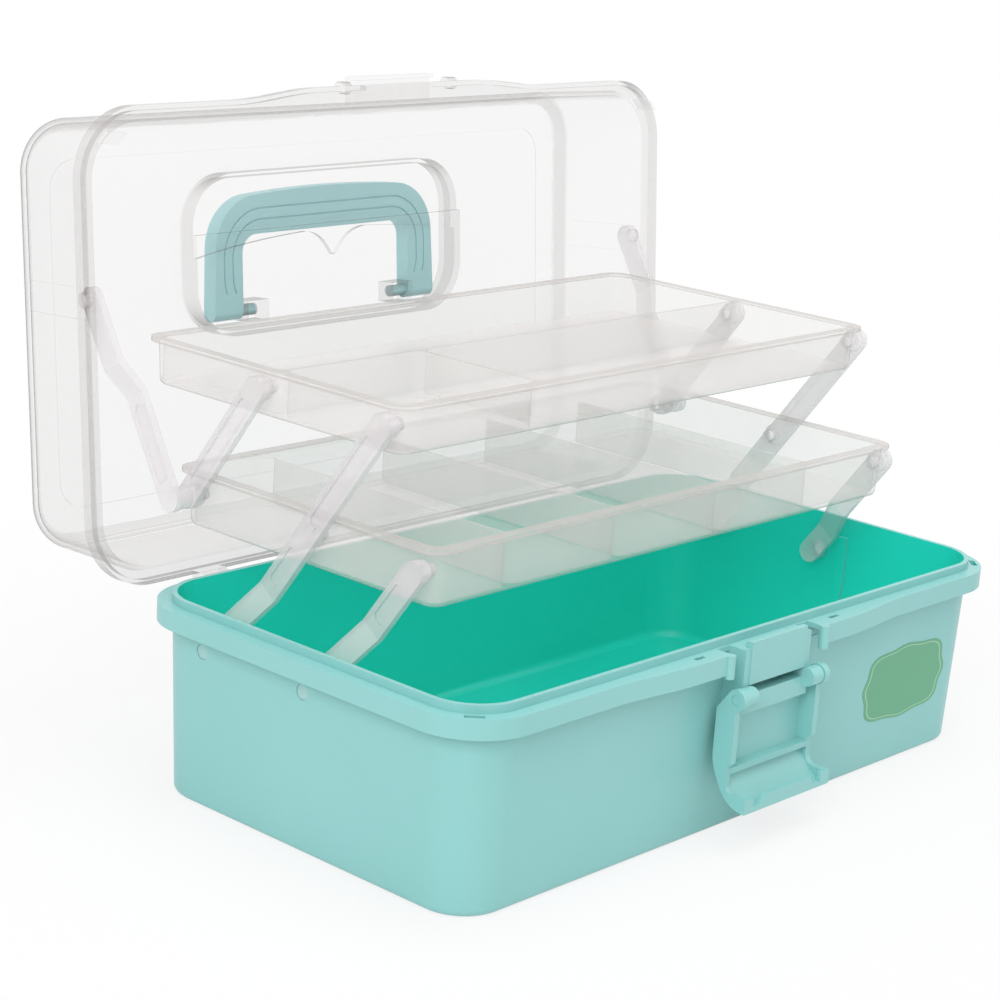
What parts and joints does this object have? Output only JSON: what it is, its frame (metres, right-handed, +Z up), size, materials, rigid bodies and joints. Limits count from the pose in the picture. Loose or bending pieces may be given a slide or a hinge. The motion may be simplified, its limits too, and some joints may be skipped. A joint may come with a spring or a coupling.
{
  "type": "fold-out organiser box",
  "caption": "Hobby organiser box with a deep tub, a domed see-through lid that lifts stacked compartment trays on linked arms, a folding carry handle and a swinging latch.",
  "frame": {"origin": "centre of the flat bottom of the tub, on the surface it stands on", "axes": "+X to the right of someone facing the latch, along the box's length; +Y towards the hinges at the back; +Z up"},
  "size_m": [0.342, 0.2855, 0.2694],
  "materials": {
    "aqua_plastic": "satin moulded opaque plastic",
    "handle_plastic": "satin moulded opaque plastic",
    "clear_plastic": "clear polished moulding, faintly milky",
    "tray_plastic": "translucent natural moulding",
    "arm_plastic": "translucent natural moulding"
  },
  "bodies": {
    "base": {"base_tub": "aqua_plastic", "hinge_pin_left": "aqua_plastic", "hinge_pin_right": "aqua_plastic"},
    "lid": {"lid": "clear_plastic"},
    "handle": {"carry_handle": "handle_plastic"},
    "latch": {"latch_lever": "aqua_plastic"},
    "front_arms": {"front_arm_left": "arm_plastic", "front_arm_right": "arm_plastic"},
    "long_arms": {"long_arm_left": "arm_plastic", "long_arm_right": "arm_plastic"},
    "lower_tray": {"lower_tray": "tray_plastic"},
    "upper_tray": {"upper_tray": "tray_plastic"},
    "rear_links": {"rear_link_left": "arm_plastic", "rear_link_right": "arm_plastic"},
    "lid_links": {"lid_link_left": "arm_plastic", "lid_link_right": "arm_plastic"}
  },
  "joints": [
    {"name": "lid_hinge", "type": "hinge", "parent": "base", "child": "lid", "pos_m": [0, 0.0996, 0.0703], "axis": [1, 0, 0], "range_deg": [0, 95]},
    {"name": "handle_pivot", "type": "hinge", "parent": "lid", "child": "handle", "pos_m": [0, 0.16749, 0.16585], "axis": [1, 0, 0], "range_deg": [-95, 0]},
    {"name": "latch_pivot", "type": "hinge", "parent": "base", "child": "latch", "pos_m": [0, -0.0985, 0.0605], "axis": [-1, 0, 0], "range_deg": [0, 180]},
    {"name": "front_arm_pivot", "type": "hinge", "parent": "base", "child": "front_arms", "pos_m": [0, -0.0002, 0.0645], "axis": [1, 0, 0], "range_deg": [0, 33]},
    {"name": "long_arm_pivot", "type": "hinge", "parent": "base", "child": "long_arms", "pos_m": [0, 0.0558, 0.0645], "axis": [1, 0, 0], "range_deg": [0, 33]},
    {"name": "lower_tray_pivot", "type": "hinge", "parent": "long_arms", "child": "lower_tray", "pos_m": [0, 0.01771, 0.11692], "axis": [1, 0, 0], "range_deg": [-33, 0]},
    {"name": "upper_tray_pivot", "type": "hinge", "parent": "long_arms", "child": "upper_tray", "pos_m": [0, -0.01861, 0.16692], "axis": [1, 0, 0], "range_deg": [-33, 0]},
    {"name": "rear_link_pivot", "type": "hinge", "parent": "lower_tray", "child": "rear_links", "pos_m": [0, 0.08511, 0.11692], "axis": [1, 0, 0], "range_deg": [0, 33]},
    {"name": "lid_link_pivot", "type": "hinge", "parent": "lid", "child": "lid_links", "pos_m": [0, 0.12771, 0.1884], "axis": [1, 0, 0], "range_deg": [0, 25.61]}
  ],
  "couplings": [
    {"joint": "front_arm_pivot", "follows": "lid_hinge", "ratio": 0.34737},
    {"joint": "long_arm_pivot", "follows": "lid_hinge", "ratio": 0.34737},
    {"joint": "lower_tray_pivot", "follows": "lid_hinge", "ratio": -0.34737},
    {"joint": "upper_tray_pivot", "follows": "lid_hinge", "ratio": -0.34737},
    {"joint": "rear_link_pivot", "follows": "lid_hinge", "ratio": 0.34737},
    {"joint": "lid_link_pivot", "follows": "lid_hinge", "ratio": 0.26944}
  ]
}
